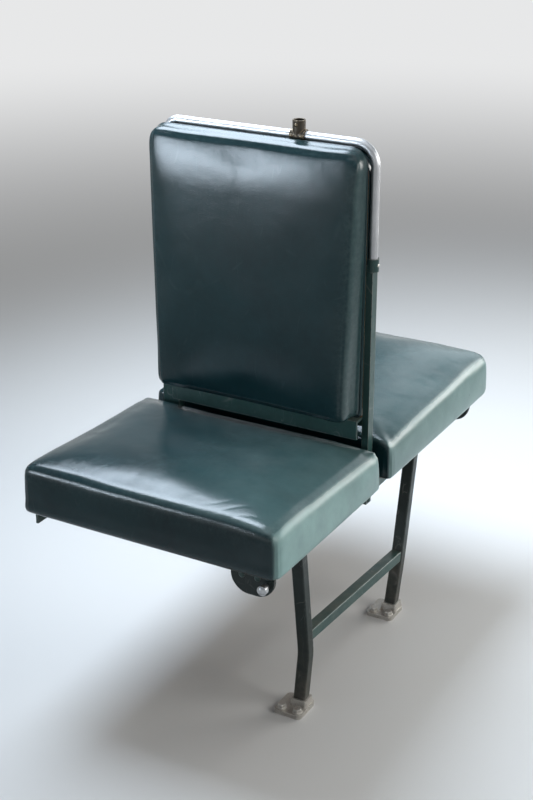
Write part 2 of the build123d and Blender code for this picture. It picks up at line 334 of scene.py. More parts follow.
framePaintFinish = {
    "deep": (0.016, 0.046, 0.043),
    "light": (0.030, 0.077, 0.070),
    "bare": (0.24, 0.24, 0.22),
    "patchScale": 7.0,
    "chips": 0.42,
    "dust": 0.30,
    "floorDust": 0.25,
    "roughness": (0.28, 0.44),
    "shine": 0.4,
}
legPaintFinish = {
    "deep": (0.008, 0.014, 0.014),
    "light": (0.015, 0.027, 0.025),
    "bare": (0.20, 0.20, 0.19),
    "patchScale": 9.0,
    "chips": 0.36,
    "dust": 0.20,
    "floorDust": 0.55,
    "roughness": (0.28, 0.44),
    "shine": 0.3,
}
framePaint = makePaint("framePaint", framePaintFinish)
legPaint = makePaint("legPaint", legPaintFinish)


# Metal: polish or wear lines, tarnish in patches, grime, and brighter edges
def makeMetal(name, finish):
    material, tree, shader = newMaterial(name)
    place = put(tree, "TexCoord").outputs["Object"]
    patches = useGroup(tree, mottle, Scale=finish["patchScale"], Fine=0.5)["Factor"]
    colour = blendColour(tree, patches, finish["deep"], finish["light"])
    edges = useGroup(tree, edgeWear, Radius=0.0016, Amount=finish["edges"], Scale=140.0)["Mask"]
    colour = blendColour(tree, edges, colour, finish["edge"])
    spots = remap(tree, noise(tree, place, finish["spotScale"], 6.0, 0.7), 0.54, 0.68)
    spots = maths(tree, "MULTIPLY", spots, finish["spots"])
    colour = blendColour(tree, spots, colour, finish["tarnish"])
    dirt = useGroup(tree, dust, Amount=finish["dust"], Floor=finish["floorDust"])["Mask"]
    colour = blendColour(tree, dirt, colour, floorDirt)
    lines = useGroup(tree, scratches, Scale=finish["lineScale"], Width=0.02, Amount=0.8)["Mask"]
    gloss = blendValue(tree, patches, *finish["roughness"])
    gloss = maths(tree, "ADD", gloss, maths(tree, "MULTIPLY", lines, 0.12))
    covered = maths(tree, "MAXIMUM", dirt, spots)
    gloss = maths(tree, "ADD", gloss, maths(tree, "MULTIPLY", covered, 0.35), True)
    metal = maths(tree, "SUBTRACT", finish["metal"], maths(tree, "MULTIPLY", covered, 0.75), True)
    feed(tree, shader, colour=colour, roughness=gloss, metallic=metal)
    pits = noise(tree, place, finish["pitScale"], 4.0, 0.6)
    bumps(tree, shader, [(pits, finish["pits"], 0.0006), (lines, -0.2, 0.0002)])
    return material


bareSteelFinish = {
    "deep": (0.36, 0.34, 0.31),
    "light": (0.60, 0.58, 0.54),
    "edge": (0.72, 0.70, 0.66),
    "tarnish": (0.16, 0.11, 0.075),
    "patchScale": 26.0,
    "edges": 0.6,
    "spotScale": 95.0,
    "spots": 0.55,
    "dust": 0.25,
    "floorDust": 0.12,
    "lineScale": 90.0,
    "roughness": (0.36, 0.52),
    "metal": 0.85,
    "pitScale": 260.0,
    "pits": 0.45,
}
brightMetalFinish = {
    "deep": (0.42, 0.43, 0.445),
    "light": (0.52, 0.53, 0.54),
    "edge": (0.62, 0.62, 0.63),
    "tarnish": (0.42, 0.41, 0.38),
    "patchScale": 18.0,
    "edges": 0.4,
    "spotScale": 120.0,
    "spots": 0.25,
    "dust": 0.08,
    "floorDust": 0.0,
    "lineScale": 120.0,
    "roughness": (0.34, 0.44),
    "metal": 1.0,
    "pitScale": 420.0,
    "pits": 0.04,
}
darkBronzeFinish = {
    "deep": (0.040, 0.034, 0.028),
    "light": (0.085, 0.070, 0.052),
    "edge": (0.33, 0.25, 0.16),
    "tarnish": (0.03, 0.028, 0.026),
    "patchScale": 30.0,
    "edges": 0.55,
    "spotScale": 130.0,
    "spots": 0.5,
    "dust": 0.15,
    "floorDust": 0.0,
    "lineScale": 120.0,
    "roughness": (0.30, 0.44),
    "metal": 0.8,
    "pitScale": 300.0,
    "pits": 0.3,
}
bareSteel = makeMetal("bareSteel", bareSteelFinish)
brightMetal = makeMetal("brightMetal", brightMetalFinish)
darkBronze = makeMetal("darkBronze", darkBronzeFinish)

# Boards under the cushions and in the back: varnished softwood, grain across the car

boardFinish = {
    "early": (0.33, 0.165, 0.068),
    "late": (0.17, 0.072, 0.028),
    "varnish": (0.12, 0.05, 0.02),
    "edge": (0.42, 0.27, 0.14),
    "ringScale": 26.0,
    "roughness": (0.34, 0.52),
}


# The rings are the fractions of a slow noise that is stretched along the grain, over fine fibres
def makeBoardWood():
    finish = boardFinish
    material, tree, shader = newMaterial("boardWood")
    place = put(tree, "TexCoord").outputs["Object"]
    along = stretched(tree, place, (0.12, 1.0, 1.0))
    warp = noise(tree, along, 5.0, 3.0, 0.5, 0.8)
    rings = maths(tree, "FRACT", maths(tree, "MULTIPLY", warp, finish["ringScale"]))
    rings = remap(tree, rings, 0.0, 1.0, smooth=True)
    fibre = noise(tree, stretched(tree, place, (0.06, 1.0, 1.0)), 420.0, 4.0, 0.6)
    grain = blendValue(tree, 0.35, rings, fibre)
    colour = blendColour(tree, grain, finish["early"], finish["late"])
    patches = useGroup(tree, mottle, Scale=6.0, Fine=0.2)["Factor"]
    colour = blendColour(tree, maths(tree, "MULTIPLY", patches, 0.45), colour, finish["varnish"])
    edges = useGroup(tree, edgeWear, Radius=0.003, Amount=0.4, Scale=80.0)["Mask"]
    colour = blendColour(tree, edges, colour, finish["edge"])
    feed(tree, shader, colour=colour, roughness=blendValue(tree, patches, *finish["roughness"]))
    bumps(tree, shader, [(grain, 0.25, 0.0004), (fibre, 0.2, 0.0002)])
    return material


boardWood = makeBoardWood()

slotMaterials = {
    "frame_paint": framePaint,
    "leg_paint": legPaint,
    "bare_steel": bareSteel,
    "bright_metal": brightMetal,
    "dark_bronze": darkBronze,
    "board_wood": boardWood,
    "leathercloth": leathercloth,
}
for node in nodes.values():
    for holder in node.material_slots:
        holder.material = slotMaterials[holder.material.name.split(".")[0]]
print("materials on", len(nodes), "frame nodes")

# Mesh helpers


# Quads between the neighbours of a grid of rows and columns, wrapped where it closes
def gridFaces(rows, columns, wrapRows=False, wrapColumns=False):
    r = np.arange(rows if wrapRows else rows - 1)
    c = np.arange(columns if wrapColumns else columns - 1)
    r, c = np.meshgrid(r, c, indexing="ij")
    nextR = (r + 1) % rows
    nextC = (c + 1) % columns
    corners = [r * columns + c, r * columns + nextC, nextR * columns + nextC, nextR * columns + c]
    return np.stack(corners, axis=-1).reshape(-1, 4)


def meshObject(name, points, faces, smooth=True):
    mesh = bpy.data.meshes.new(name)
    mesh.from_pydata(np.asarray(points).reshape(-1, 3).tolist(), [], np.asarray(faces).tolist())
    mesh.validate()
    mesh.polygons.foreach_set("use_smooth", np.full(len(mesh.polygons), smooth))
    mesh.update()
    piece = bpy.data.objects.new(name, mesh)
    scene.collection.objects.link(piece)
    return piece


def finishPiece(piece, slotName):
    piece.data.materials.clear()
    piece.data.materials.append(slotMaterials[slotName])
    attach(piece, "root")
    return piece


def boxCorners(node):
    return [np.array(corner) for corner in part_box(node)]


# The places of a mesh's vertices, or their normals
def meshPoints(mesh, what="co"):
    flat = np.empty(len(mesh.vertices) * 3)
    mesh.vertices.foreach_get(what, flat)
    return flat.reshape(-1, 3)


def setMeshPoints(mesh, points):
    mesh.vertices.foreach_set("co", np.asarray(points).reshape(-1))
    mesh.update()


# The object's mesh as its modifiers leave it, in a plain new mesh
def applied(piece):
    graph = bpy.context.evaluated_depsgraph_get()
    mesh = bpy.data.meshes.new_from_object(piece.evaluated_get(graph))
    old = piece.data
    piece.modifiers.clear()
    piece.data = mesh
    bpy.data.meshes.remove(old)
    return piece


# Turns a closed mesh's faces outwards
def facedOut(piece):
    shell = bmesh.new()
    shell.from_mesh(piece.data)
    bmesh.ops.recalc_face_normals(shell, faces=shell.faces)
    shell.to_mesh(piece.data)
    shell.free()
    return piece


def unit(vectors):
    return vectors / np.linalg.norm(vectors, axis=-1, keepdims=True)


# From 0 at low to 1 at high, as three t squared less two t cubed
def smoothStep(value, low, high):
    t = np.clip((value - low) / (high - low), 0.0, 1.0)
    return t * t * (3.0 - 2.0 * t)


# A bell curve: e to the minus square of the value over its reach
def bell(value, reach):
    return np.exp(-(value / reach) ** 2)


# A rounded rectangle at even turns: a ray's end held in the corners' centres, plus the corner's
# radius along the ray. The corners are the radii at (low x, low y), (high x, low y),
# (low x, high y) and (high x, high y)
def roundedRectangle(half, corners, count):
    turn = np.linspace(0.0, 2 * math.pi, count, endpoint=False)
    direction = np.stack([np.cos(turn), np.sin(turn)], axis=1)
    quadrant = (direction[:, 0] > 0) + 2 * (direction[:, 1] > 0)
    corner = np.asarray(corners)[quadrant][:, None]
    inner = half - corner
    farAway = 1e3
    return np.clip(direction * farAway, -inner, inner) + direction * corner, direction


# Soft pieces: a rounded block is remeshed, blown up as cloth, fitted to its solid's box and dressed


# A rounded block in two parameters. Around it runs a rounded rectangle of unit half size; down it
# runs a profile: from the top's centre to the rim, round the top roll, down the side, round the
# bottom roll and in to the bottom's centre. The half sizes at each step of the profile scale the
# rectangle, and the roll radii draw it in. The top roll loses the share backTight along high y
# and gains the share aisleRound along high x
def roundedBlock(low, high, corners, topRoll, bottomRoll, crown, backTight=0.0, aisleRound=0.0):
    flatSteps, rollSteps, sideSteps = 12, 6, 6
    half = (high - low) / 2
    centre = (high + low) / 2
    ring, direction = roundedRectangle(half[:2], corners, 240)
    ring = ring / half[:2]
    angle = np.linspace(0.0, math.pi / 2, rollSteps + 1)[1:, None]
    roll = 1 - backTight * smoothStep(direction[:, 1], 0.2, 0.75)
    roll = topRoll * (roll + aisleRound * smoothStep(direction[:, 0], 0.5, 0.85))[None]
    still = np.ones_like(roll)
    inset = np.concatenate([
        np.repeat(roll, flatSteps, axis=0),
        roll * (1 - np.sin(angle)),
        0 * np.repeat(roll, sideSteps, axis=0),
        bottomRoll * (1 - np.cos(angle)) * still,
        bottomRoll * np.repeat(still, flatSteps, axis=0),
    ])
    outwards = np.linspace(0, 1, flatSteps)
    share = np.concatenate([outwards, np.ones(2 * rollSteps + sideSteps), np.linspace(1, 0, flatSteps)])
    side = np.linspace(0, 1, sideSteps + 2)[1:-1, None]
    height = np.concatenate([
        (high[2] + crown * (1 - outwards[:, None] ** 2)) * still,
        high[2] - roll * (1 - np.cos(angle)),
        (high[2] - roll) * (1 - side) + (low[2] + bottomRoll) * side,
        (low[2] + bottomRoll * (1 - np.sin(angle))) * still,
        low[2] * np.repeat(still, flatSteps, axis=0),
    ])
    size = (half[:2] - inset[:, :, None]) * share[:, None, None]
    plan = centre[:2] + ring[None] * size
    return np.concatenate([plan, height[:, :, None]], axis=2)


print("soft pieces")
simulation = {
    "voxel": 0.006,
    "shrink": 0.002,       # the block starts this much smaller all round
    "pressure": 4.0,
    "mass": 0.4,
    "stiffness": {"tension": 40, "compression": 40, "shear": 15, "bending": 12},
    "frames": 20,
    "cap": 0.011,          # no point moves further
    "base": 0.004,         # the cloth is held up to this height
    "evenRounds": 30,      # how far the swelling is evened out
    "swelling": 0.35,      # the share of the evened swelling that stays
    "dents": 0.08,         # the share of the small dents that stays
}


# A field over a mesh, evened out: each point goes half way to its neighbours' mean, over and over
def evenField(mesh, field, rounds):
    edges = np.empty(len(mesh.edges) * 2, dtype=np.int64)
    mesh.edges.foreach_get("vertices", edges)
    edges = edges.reshape(-1, 2)
    ends = np.concatenate([edges[:, 0], edges[:, 1]])
    others = np.concatenate([edges[:, 1], edges[:, 0]])
    size = len(field)
    count = np.bincount(ends, minlength=size)[:, None]
    for _ in range(rounds):
        total = np.stack([np.bincount(ends, field[others, axis], size) for axis in range(3)], axis=1)
        field = (field + total / count) / 2
    return field


# Cloth under pressure, held where it is tacked to its board. The swelling is capped and evened
# out, and each point keeps a share of it and a share of the dents that the evening took out
def blowUp(piece, baseHeight):
    start = meshPoints(piece.data)
    held = piece.vertex_groups.new(name="base")
    held.add([int(i) for i in np.flatnonzero(start[:, 2] < baseHeight)], 1.0, "REPLACE")
    cloth = piece.modifiers.new("cloth", "CLOTH")
    settings = cloth.settings
    settings.quality = 5
    settings.mass = simulation["mass"]
    for kind, value in simulation["stiffness"].items():
        setattr(settings, kind + "_stiffness", value)
    settings.vertex_group_mass = "base"
    settings.use_pressure = True
    settings.uniform_pressure_force = simulation["pressure"]
    settings.effector_weights.gravity = 0
    cloth.collision_settings.use_collision = False
    cloth.collision_settings.use_self_collision = False
    cloth.point_cache.frame_start = 1
    cloth.point_cache.frame_end = simulation["frames"]
    for step in range(1, simulation["frames"] + 1):
        scene.frame_set(step)
    applied(piece)
    moved = meshPoints(piece.data) - start
    far = np.linalg.norm(moved, axis=1, keepdims=True)
    moved *= np.minimum(1.0, simulation["cap"] / np.maximum(far, 1e-9))
    smooth = evenField(piece.data, moved, simulation["evenRounds"])
    stays = simulation["swelling"] * smooth + simulation["dents"] * (moved - smooth)
    setMeshPoints(piece.data, start + stays)
    piece.vertex_groups.clear()
    scene.frame_set(1)
    return piece


# The block's grid made a mesh: welded, remeshed, evened out, blown up and divided once
def softPiece(name, grid, baseHeight):
    piece = meshObject(name, grid, gridFaces(*grid.shape[:2], wrapColumns=True))
    weld = piece.modifiers.new("weld", "WELD")
    weld.merge_threshold = 0.00005
    remesh = piece.modifiers.new("remesh", "REMESH")
    remesh.mode = "VOXEL"
    remesh.voxel_size = simulation["voxel"]
    remesh.use_smooth_shade = True
    even = piece.modifiers.new("even", "SMOOTH")
    even.factor = 0.5
    even.iterations = 6
    applied(piece)
    blowUp(piece, baseHeight)
    finer = piece.modifiers.new("finer", "SUBSURF")
    finer.levels = 1
    finer.render_levels = 1
    return applied(piece)


# Stretches a piece to a box's sides, and its base out to them, where the cover is tacked. The
# stretch of the base dies away upwards
def fitBox(points, low, high, baseInset):
    baseBand, diesOver = 0.003, 0.03
    nowLow = points.min(axis=0)
    nowHigh = points.max(axis=0)
    scale = (high - low) / (nowHigh - nowLow)
    scale[2] = 1.0
    points = low + (points - nowLow) * scale
    base = points[points[:, 2] < low[2] + baseBand]
    centre = (low + high)[:2] / 2
    half = (high - low)[:2] / 2
    grow = (half - baseInset) / np.abs(base[:, :2] - centre).max(axis=0) - 1
    near = 1 - smoothStep(points[:, 2:], low[2], low[2] + diesOver)
    points[:, :2] = centre + (points[:, :2] - centre) * (1 + grow * near)
    return points


# A value from 0 to 1 at each vertex, which the leathercloth reads by its name
def setField(piece, name, values):
    layer = piece.data.attributes.new(name, "FLOAT", "POINT")
    layer.data.foreach_set("value", np.clip(values, 0.0, 1.0).astype(np.float32))


def finishSoft(piece, node):
    piece.data.polygons.foreach_set("use_smooth", np.ones(len(piece.data.polygons), dtype=bool))
    finishPiece(piece, "leathercloth")
    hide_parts(node)


cushionShape = {
    "corners": (0.012, 0.019, 0.008, 0.008),   # nose at the wall and aisle, back at the wall and aisle
    "topRoll": 0.018,
    "backTight": 0.6,
    "aisleRound": 0.5,
    "bottomRoll": 0.005,
    "baseInset": 0.004,
    "crown": 0.006,
    "topHeight": 0.453,
    "rake": 0.014,
    "backRoll": (0.003, 0.86),       # how far the back edge falls, and from which share of the depth
    "noseFall": (0.0034, 0.060),     # how far the top falls towards an edge, and from how far in
    "aisleFall": (0.0055, 0.075),
    "proud": (0.004, 0.003, 0.002),  # past the solid at the wall side, the nose and the aisle side
    "most": 0.002,                   # no point goes further past that
}
cornerPleat = {
    "depth": 0.0012,
    "count": 7,
    "spread": 0.55,                  # in radians each way from the corner's middle
    "inwards": (-0.012, 0.004),      # where they start and are full, measured past the corner's centre
    "heights": (0.0, 0.12, 0.35, 0.85),   # where they start, are full, start to die away and end
}
noseCrease = {
    "depth": 0.0006,
    "place": (0.095, 0.034),         # from the aisle side and from the nose
    "spread": (0.045, 0.017),
    "slant": 0.55,
    "waves": 240.0,                  # radians a metre
    "wander": (1.6, 60.0),           # radians, and radians a metre
    "heights": (0.6, 0.85),
}
cushionWearAndPaintedLight = {
    "nose": (0.2, 0.035),            # how much, and over how far
    "sides": (0.4, 0.022),
    "faded": {"front": 0.22, "rear": 0.16},    # painted light: how much the top is lightened near the aisle, as if lit from the aisle side
    "scuffedAndPaintedLight": {"front": 0.95, "rear": 0.66},  # how much the aisle side is lightened: scuffing where people brush past, and painted light from the aisle side
    "lessBehind": 0.2,
}


# How high a point is, from 0 at the box's base to 1 at its top
def upShare(points, low, high):
    return (points[:, 2] - low[2]) / (high[2] - low[2])


# Gathers at the upright corners: a wave round each corner, deepest low down where the cover is
# pulled under, and dying away along the sides and towards the top
def cornerPleats(points, low, high):
    centre = (low + high)[:2] / 2
    half = (high - low)[:2] / 2
    inner = half - cushionShape["corners"][1]
    over = np.abs(points[:, :2] - centre) - inner
    angle = np.arctan2(np.maximum(over[:, 1], 1e-6), np.maximum(over[:, 0], 1e-6))
    window = bell(angle - math.pi / 4, cornerPleat["spread"])
    window = window * smoothStep(over.min(axis=1), *cornerPleat["inwards"])
    up = upShare(points, low, high)
    start, full, wanes, end = cornerPleat["heights"]
    tall = smoothStep(up, start, full) * (1 - smoothStep(up, wanes, end))
    return cornerPleat["depth"] * window * tall * np.cos(angle * 2 * cornerPleat["count"])


# Creases where the nose meets the aisle side: short slanting furrows across the top roll, the
# upper halves of a squared sine that wanders, under a bell curve each way
def noseCreases(points, low, high):
    along = high[0] - points[:, 0]
    back = points[:, 1] - low[1]
    slant = along * noseCrease["slant"] + back
    wander, turns = noseCrease["wander"]
    wave = np.maximum(np.sin(slant * noseCrease["waves"] + wander * np.sin(along * turns)), 0.0) ** 2
    (alongAt, backAt), (alongReach, backReach) = noseCrease["place"], noseCrease["spread"]
    window = bell(along - alongAt, alongReach) * bell(back - backAt, backReach)
    tall = smoothStep(upShare(points, low, high), *noseCrease["heights"])
    return -noseCrease["depth"] * wave * window * tall


# The nose and the top's sides are rubbed in bell curves. What looks to the aisle is lightened, a little
# less towards the back: partly scuffing, partly painted light from the aisle side. What looks up is
# lightened towards the aisle with painted light
def wearAndPaintedLightFields(side, points, normals, back, up, low, high):
    strength, reach = cushionWearAndPaintedLight["nose"]
    nose = strength * bell(points[:, 1] - low[1], reach) * smoothStep(up, 0.45, 0.95)
    strength, reach = cushionWearAndPaintedLight["sides"]
    fromSide = np.minimum(points[:, 0] - low[0], high[0] - points[:, 0])
    sides = strength * bell(fromSide, reach) * smoothStep(up, 0.5, 0.95)
    # painted light with scuffing: faces turned to the aisle get the light colour
    scuffAndPaintedLight = cushionWearAndPaintedLight["scuffedAndPaintedLight"][side] * smoothStep(normals[:, 0], 0.45, 0.9)
    scuffAndPaintedLight = scuffAndPaintedLight * (1 - cushionWearAndPaintedLight["lessBehind"] * smoothStep(back, 0.2, 0.9))
    across = (points[:, 0] - low[0]) / (high[0] - low[0])
    # painted light: up-facing faces lighten towards the aisle, where the aisle side's light falls
    faded = cushionWearAndPaintedLight["faded"][side] * smoothStep(across, 0.2, 1.0) * smoothStep(normals[:, 2], 0.3, 0.9)
    return nose + sides, np.maximum(scuffAndPaintedLight, faded)


# A cushion, worked out with its nose at the low end of y, then turned round for the rear one. Its
# top falls evenly towards the back, in a roll at the back edge, and in bell curves at the nose and
# at the aisle
def makeCushion(side):
    name = "cushion_" + side
    shape = cushionShape
    low, high = boxCorners(name)
    high[2] = shape["topHeight"]
    if side == "rear":
        low[1], high[1] = -high[1], -low[1]
    low[:2] -= shape["proud"][:2]
    high[0] += shape["proud"][2]
    shrink = simulation["shrink"]
    inLow = low + shrink * np.array([1, 1, 0])
    inHigh = high - shrink * np.array([1, 1, 1])
    rolls = [shape[key] for key in ("topRoll", "bottomRoll", "crown", "backTight", "aisleRound")]
    grid = roundedBlock(inLow, inHigh, shape["corners"], *rolls)
    piece = softPiece(name + "_cover", grid, low[2] + simulation["base"])
    points = fitBox(meshPoints(piece.data), low, high, shape["baseInset"])
    setMeshPoints(piece.data, points)
    normals = meshPoints(piece.data, "normal")
    dressing = cornerPleats(points, low, high) + noseCreases(points, low, high)
    points = points + normals * dressing[:, None]
    back = (points[:, 1] - low[1]) / (high[1] - low[1])
    up = np.clip(upShare(points, low, high), 0, 1)
    drop, start = shape["backRoll"]
    points[:, 2] -= up * (shape["rake"] * back + drop * smoothStep(back, start, 1.0))
    inwards = {"noseFall": points[:, 1] - low[1], "aisleFall": high[0] - points[:, 0]}
    for edge, distance in inwards.items():
        drop, reach = shape[edge]
        points[:, 2] -= up * drop * bell(distance, reach)
    points[:, :2] = np.clip(points[:, :2], low[:2] - shape["most"], high[:2] + shape["most"])
    points[:, 2] = np.maximum(points[:, 2], low[2])
    wear, scuffAndPaintedLight = wearAndPaintedLightFields(side, points, normals, back, up, low, high)
    if side == "rear":
        points[:, 1] *= -1
        piece.data.flip_normals()
    setMeshPoints(piece.data, points)
    setField(piece, "wear", wear)
    setField(piece, "scuffAndPaintedLight", scuffAndPaintedLight)
    finishSoft(piece, name)


makeCushion("front")
makeCushion("rear")
print("cushions")

padShape = {
    "corners": (0.014, 0.014, 0.024, 0.028),   # bottom at the wall and aisle, top at the wall and aisle
    "roll": 0.012,
    "innerRoll": 0.002,
    "baseInset": 0.0005,
    "crown": 0.003,
    "topThickness": 0.037,
    "bottomThickness": 0.059,
    "topLean": (0.007, 0.80),   # how far the face falls back at its top, and the share it starts at
    "aisleTaper": 0.006,
    "wallTaper": 0.020,
    "seam": (0.0011, 0.010, 0.0022),   # its depth, its place from the edge and its width
    "selvage": 0.0263,       # x of the cover's edge, tacked along the board's edge at the aisle
    "selvageDepth": 0.009,
    "wear": (0.25, 0.02),    # how much at the edges, and over how far
    "scuffedAndPaintedLight": 0.10,
}


# Where a pad stands: its low corner, the plane of its back, which way along the car its face
# looks, and its width, height and thickness
def padPlace(side):
    low, high = boxCorners("back_pad_" + side)
    sign = -1.0 if side == "front" else 1.0
    inner = high[1] if side == "front" else low[1]
    return low, inner, sign, np.array([high[0] - low[0], high[2] - low[2], high[1] - low[1]])


# A pad that lies with its face up, stood up on its edge: x keeps across the car and draws in
# downwards, the thickness goes along the car, and the aisle edge is drawn out to the board's
def stoodUp(points, low, inner, sign, size):
    shape = padShape
    tall = points[:, 1] / size[1]
    across = points[:, 0] / size[0]
    taper = shape["wallTaper"] * (1 - across) - shape["aisleTaper"] * across
    x = low[0] + points[:, 0] + (1 - tall) * taper
    atEdge = smoothStep(across, 0.93, 0.985) * smoothStep(1 - tall, 0.03, 0.10)
    flat = 1 - smoothStep(points[:, 2], 0.0008, shape["selvageDepth"])
    x = x + np.maximum(shape["selvage"] - x, 0) * atEdge * flat
    return np.stack([x, inner + sign * points[:, 2], low[2] + points[:, 1]], axis=1)


# A back pad, worked out lying down with its face up, then stood up on its edge. Its thickness goes
# evenly from the bottom's to the top's, with a parabola for its crown and another for its lean,
# and the seam is a groove with a bell curve's section, at one distance from the edge
def makePad(side):
    name = "back_pad_" + side
    shape = padShape
    low, inner, sign, size = padPlace(side)
    shrink = simulation["shrink"]
    inLow = np.array([1, 1, 0]) * shrink
    inHigh = size - np.array([1, 1, 1]) * shrink
    grid = roundedBlock(inLow, inHigh, shape["corners"], shape["roll"], shape["innerRoll"], shape["crown"])
    piece = softPiece(name + "_cover", grid, simulation["base"])
    points = fitBox(meshPoints(piece.data), np.zeros(3), size, shape["baseInset"])
    setMeshPoints(piece.data, points)
    tall = points[:, 1] / size[1]
    across = points[:, 0] / size[0]
    fromEdge = np.minimum(points[:, :2], size[:2] - points[:, :2]).min(axis=1)
    depth, place, width = shape["seam"]
    groove = depth * bell(fromEdge - place, width) * smoothStep(points[:, 2] / size[2], 0.6, 0.9)
    points = points - meshPoints(piece.data, "normal") * groove[:, None]
    thick = shape["bottomThickness"] + (shape["topThickness"] - shape["bottomThickness"]) * tall
    thick = thick + shape["crown"] * (1 - (2 * tall - 1) ** 2)
    lean, start = shape["topLean"]
    thick = thick - lean * np.clip((tall - start) / (1 - start), 0, 1) ** 2
    points[:, 2] *= thick / size[2]
    setMeshPoints(piece.data, stoodUp(points, low, inner, sign, size))
    if sign > 0:
        piece.data.flip_normals()
    edge = np.minimum(np.minimum(across, 1 - across) * size[0], (1 - tall) * size[1])
    strength, reach = shape["wear"]
    setField(piece, "wear", strength * bell(edge, reach))
    # scuffing and painted light: the pad's faces that look to the aisle are lightened
    facing = smoothStep(meshPoints(piece.data, "normal")[:, 0], 0.5, 0.9)
    setField(piece, "scuffAndPaintedLight", shape["scuffedAndPaintedLight"] * facing)
    finishSoft(piece, name)


makePad("front")
makePad("rear")
print("back pads")

# Leathercloth trim and small fastenings


# Points at even steps round a rounded rectangle, the outward direction at each, and the way round
def roundedRing(half, corners, count):
    ring, direction = roundedRectangle(half, corners, 720)
    ring = np.concatenate([ring, ring[:1]])
    direction = np.concatenate([direction, direction[:1]])
    along = np.concatenate([[0], np.cumsum(np.linalg.norm(np.diff(ring, axis=0), axis=1))])
    steps = np.linspace(0, along[-1], count, endpoint=False)
    spread = [np.interp(steps, along, column) for column in (*ring.T, *direction.T)]
    return np.stack(spread[:2], axis=1), unit(np.stack(spread[2:], axis=1)), along[-1]


# A closed section of (out, up) carried along a path: each point is the path's point plus out times
# the outward direction there plus up times the upward one. An open path gets a pole at each end
def carried(path, outward, upward, section, closed):
    section = np.asarray(section)
    if section.ndim == 2:
        section = np.broadcast_to(section, (len(path), *section.shape))
    points = path[:, None] + section[..., :1] * outward[:, None] + section[..., 1:] * upward[:, None]
    if not closed:
        first = np.broadcast_to(points[0].mean(axis=0), points[:1].shape)
        last = np.broadcast_to(points[-1].mean(axis=0), points[:1].shape)
        points = np.concatenate([first, points, last])
    faces = gridFaces(len(points), points.shape[1], wrapRows=closed, wrapColumns=True)
    return points.reshape(-1, 3), faces


# A turned shape: a profile of radius and height carried round its axis, closed at both ends
def turned(profile, count):
    profile = np.asarray(profile)
    turn = np.linspace(0, 2 * math.pi, count, endpoint=False)
    ring = np.stack([np.cos(turn), np.sin(turn)], axis=1)
    plan = profile[:, None, :1] * ring[None, :, :]
    tall = np.broadcast_to(profile[:, None, 1:], (len(profile), count, 1))
    points = np.concatenate([plan, tall], axis=2)
    return points.reshape(-1, 3), gridFaces(len(profile), count, wrapColumns=True)


# A domed head: a quarter ellipse turned round, on a flat underside
def domed(radius, height, count=12, steps=4):
    angle = np.linspace(0, math.pi / 2, steps)
    profile = np.stack([radius * np.cos(angle), height * np.sin(angle)], axis=1)
    return turned([(0.0, 0.0), *profile], count)


# A hexagon's radius at each turn: its flat's distance over the cosine from the flat's middle. Its
# upper rim is cut to a circle
def hexHead(flat, height, bevel):
    count = 48
    turn = np.linspace(0, 2 * math.pi, count, endpoint=False)
    fromFlat = (turn + math.pi / 6) % (math.pi / 3) - math.pi / 6
    hexagon = flat / np.cos(fromFlat)
    circle, innerRing = flat * 0.98, flat * 0.6
    levels = np.array([0.0, 0.0, height - bevel, height, height, height])
    rim = np.stack([
        np.zeros(count),
        hexagon,
        hexagon,
        np.minimum(hexagon, circle),
        np.full(count, innerRing),
        np.zeros(count),
    ])
    points = np.stack([
        rim * np.cos(turn),
        rim * np.sin(turn),
        np.broadcast_to(levels[:, None], rim.shape),
    ], axis=2)
    return points.reshape(-1, 3), gridFaces(*rim.shape, wrapColumns=True)


# A round slotted head. Each row is a chord, over half an ellipsoid and back along the flat
# underside, and the two middle rows are sunk into the slot
def slottedHead(radius, height, slotWidth, slotDepth):
    w = slotWidth / 2 / radius
    rows = np.array([-1, -0.93, -0.78, -0.5, -w, -w, w, w, 0.5, 0.78, 0.93, 1])
    sunk = np.array([0, 0, 0, 0, 0, 1, 1, 0, 0, 0, 0, 0])
    chord = np.sqrt(1 - rows ** 2)
    over = np.linspace(-1, 1, 11)
    top = chord[:, None] * over
    dome = height * np.sqrt(np.clip(1 - top ** 2 - rows[:, None] ** 2, 0, 1))
    dome = np.maximum(dome - slotDepth * sunk[:, None], 0.0)
    under = chord[:, None] * np.array([0.5, -0.5])
    x = np.concatenate([top, under], axis=1) * radius
    z = np.concatenate([dome, np.zeros_like(under)], axis=1)
    y = np.broadcast_to(rows[:, None] * radius, x.shape)
    return np.stack([x, y, z], axis=2).reshape(-1, 3), gridFaces(*x.shape, wrapColumns=True)


# Copies of a shape at several places, each with its own axis
def copies(shape, places, axes):
    points, faces = shape
    places = np.asarray(places, dtype=float)
    axes = np.broadcast_to(unit(np.asarray(axes, dtype=float)), places.shape)
    helper = np.where(np.abs(axes[:, 2:]) > 0.9, [[1.0, 0.0, 0.0]], [[0.0, 0.0, 1.0]])
    first = unit(np.cross(helper, axes))
    second = np.cross(axes, first)
    basis = np.stack([first, second, axes], axis=1)
    moved = np.einsum("pk,nkd->npd", points, basis) + places[:, None, :]
    shifted = faces[None] + (np.arange(len(places)) * len(points))[:, None, None]
    return moved.reshape(-1, 3), shifted.reshape(-1, faces.shape[1])


# Several shapes as one
def joined(*parts):
    offset = 0
    allPoints, allFaces = [], []
    for points, faces in parts:
        allPoints.append(points)
        allFaces.append(faces + offset)
        offset += len(points)
    return np.concatenate(allPoints), np.concatenate(allFaces)


# A closed shape made a piece: doubles merged, faces turned outwards, and steep edges kept sharp
def smallPiece(name, shape, slotName):
    piece = meshObject(name, *shape)
    weld = piece.modifiers.new("weld", "WELD")
    weld.merge_threshold = 0.00002
    facedOut(applied(piece))
    piece.data.set_sharp_from_angle(angle=math.radians(35))
    return finishPiece(piece, slotName)


